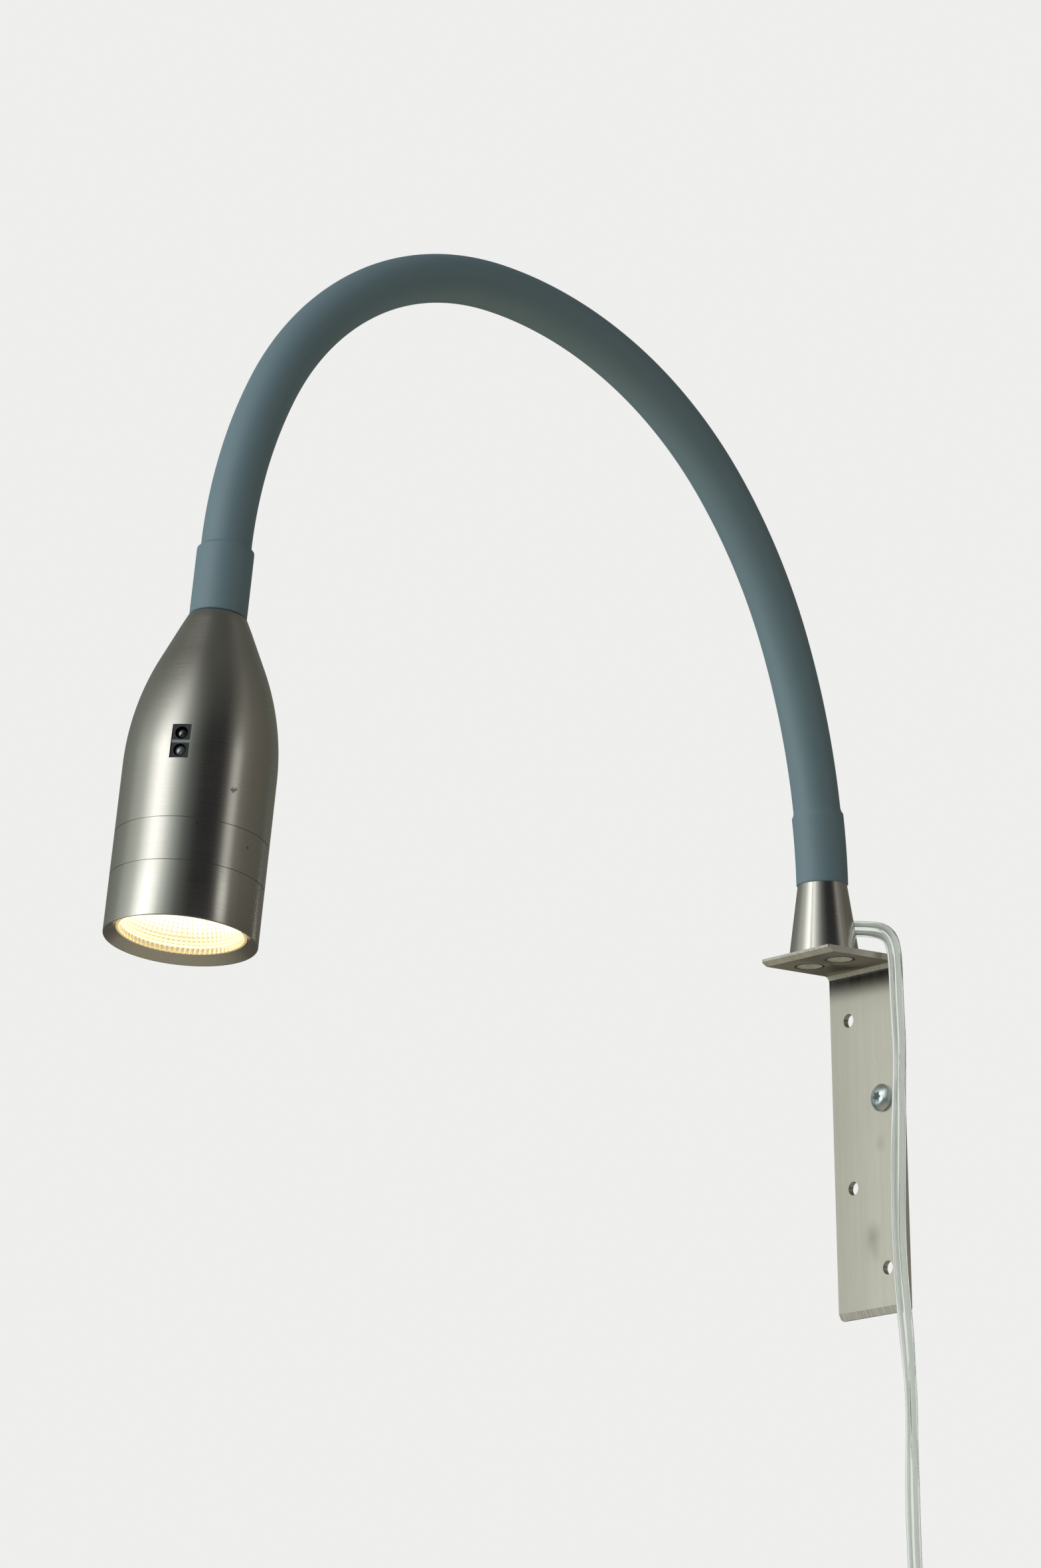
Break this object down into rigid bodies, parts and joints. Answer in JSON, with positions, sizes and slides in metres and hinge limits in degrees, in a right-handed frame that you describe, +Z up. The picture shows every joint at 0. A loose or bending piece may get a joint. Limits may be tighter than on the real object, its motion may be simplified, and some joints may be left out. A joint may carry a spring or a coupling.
{
  "type": "gooseneck wall sconce",
  "caption": "Wall lamp with an L-shaped strip bracket, a turned cone, a bendable sleeved neck, a bullet-shaped head with a small sensor window and a clear supply cord.",
  "frame": {"origin": "middle of the back face of the bracket's plate, where it meets the wall", "axes": "+X to the right along the wall, +Y into the wall, +Z up; the neck arches out towards -Y in the plane x = 0"},
  "size_m": [0.078, 0.3017, 0.4653],
  "materials": {
    "bracket_steel": "brushed along the strip, with ground edges",
    "screw_zinc": "bright zinc plate",
    "turned_metal": "satin turned, with fine rings round the axis",
    "head_metal": "satin turned, with fine rings round the axis",
    "sleeve_grey": "smooth matte blue grey",
    "core_steel": "plain wound steel",
    "ferrule_metal": "plain turned",
    "crimp_metal": "plain tinned",
    "wire_white": "smooth insulation",
    "wire_red": "smooth insulation",
    "grommet_rubber": "smooth",
    "cord_clear": "clear insulation over pale stranded cores",
    "tie_plastic": "fine grain",
    "plug_plastic": "smooth moulded",
    "pin_metal": "plain",
    "sink_metal": "plain cut",
    "led_board_white": "white mask",
    "led_phosphor": "smooth yellow",
    "reflector_coat": "faceted bright coat",
    "board_green": "solder mask",
    "part_black": "moulded",
    "sensor_black": "fine grain",
    "sensor_dark": "polished dome",
    "sensor_clear": "polished dome",
    "sensor_grey": "smooth"
  },
  "bodies": {
    "bracket": {"wall_bracket": "bracket_steel", "wall_screw": "screw_zinc", "flange_screws": "screw_zinc", "base_cone": "turned_metal", "cord_grommet": "grommet_rubber", "neck_ferrule_base": "ferrule_metal", "neck_sleeve_base": "sleeve_grey", "neck_core_base": "core_steel", "neck_wires_base": "wire_white", "wire_splices": "crimp_metal", "cord_tail": "cord_clear", "power_cord": "cord_clear", "cord_coil": "cord_clear", "cord_tie": "tie_plastic", "cord_plug": "plug_plastic", "plug_pins": "pin_metal"},
    "neck_1": {"neck_sleeve_1": "sleeve_grey", "neck_core_1": "core_steel", "neck_wires_1": "wire_white"},
    "neck_2": {"neck_sleeve_2": "sleeve_grey", "neck_core_2": "core_steel", "neck_wires_2": "wire_white"},
    "neck_3": {"neck_sleeve_3": "sleeve_grey", "neck_core_3": "core_steel", "neck_wires_3": "wire_white"},
    "neck_4": {"neck_sleeve_4": "sleeve_grey", "neck_core_4": "core_steel", "neck_wires_4": "wire_white"},
    "neck_5": {"neck_sleeve_5": "sleeve_grey", "neck_core_5": "core_steel", "neck_wires_5": "wire_white"},
    "neck_6": {"neck_sleeve_6": "sleeve_grey", "neck_core_6": "core_steel", "neck_wires_6": "wire_white"},
    "neck_7": {"neck_sleeve_7": "sleeve_grey", "neck_core_7": "core_steel", "neck_wires_7": "wire_white"},
    "head": {"neck_sleeve_tail": "sleeve_grey", "neck_ferrule_tail": "ferrule_metal", "neck_core_tail": "core_steel", "neck_wires_tail": "wire_white", "ferrule_nut": "ferrule_metal", "head_shell": "head_metal", "mid_ring": "head_metal", "front_bezel": "head_metal", "heat_sink": "sink_metal", "led_board": "led_board_white", "led_chip": "led_phosphor", "board_screws": "screw_zinc", "reflector": "reflector_coat", "driver_board": "board_green", "driver_parts": "part_black", "sensor_frame": "sensor_black", "sensor_receiver": "sensor_dark", "sensor_emitter": "sensor_clear", "sensor_bar": "sensor_grey", "sensor_board": "board_green", "head_leads": "wire_red"}
  },
  "joints": [
    {"name": "base_swing", "type": "hinge", "parent": "bracket", "child": "neck_1", "pos_m": [0, -0.02002, 0.10273], "axis": [0, 0.9936, 0.1132], "range_deg": [-25, 25]},
    {"name": "neck_bend_1", "type": "hinge", "parent": "neck_1", "child": "neck_2", "pos_m": [0, -0.03202, 0.15351], "axis": [1, 0, 0], "range_deg": [-25, 10]},
    {"name": "neck_bend_2", "type": "hinge", "parent": "neck_2", "child": "neck_3", "pos_m": [0, -0.05777, 0.19875], "axis": [1, 0, 0], "range_deg": [-25, 10]},
    {"name": "neck_bend_3", "type": "hinge", "parent": "neck_3", "child": "neck_4", "pos_m": [0, -0.09828, 0.23121], "axis": [1, 0, 0], "range_deg": [-25, 10]},
    {"name": "neck_bend_4", "type": "hinge", "parent": "neck_4", "child": "neck_5", "pos_m": [0, -0.14842, 0.24483], "axis": [1, 0, 0], "range_deg": [-25, 10]},
    {"name": "neck_bend_5", "type": "hinge", "parent": "neck_5", "child": "neck_6", "pos_m": [0, -0.19875, 0.23353], "axis": [1, 0, 0], "range_deg": [-25, 10]},
    {"name": "neck_bend_6", "type": "hinge", "parent": "neck_6", "child": "neck_7", "pos_m": [0, -0.23558, 0.19729], "axis": [1, 0, 0], "range_deg": [-25, 10]},
    {"name": "head_swing", "type": "hinge", "parent": "neck_7", "child": "head", "pos_m": [0, -0.25311, 0.14831], "axis": [0, -0.9866, 0.1633], "range_deg": [-25, 25]}
  ]
}
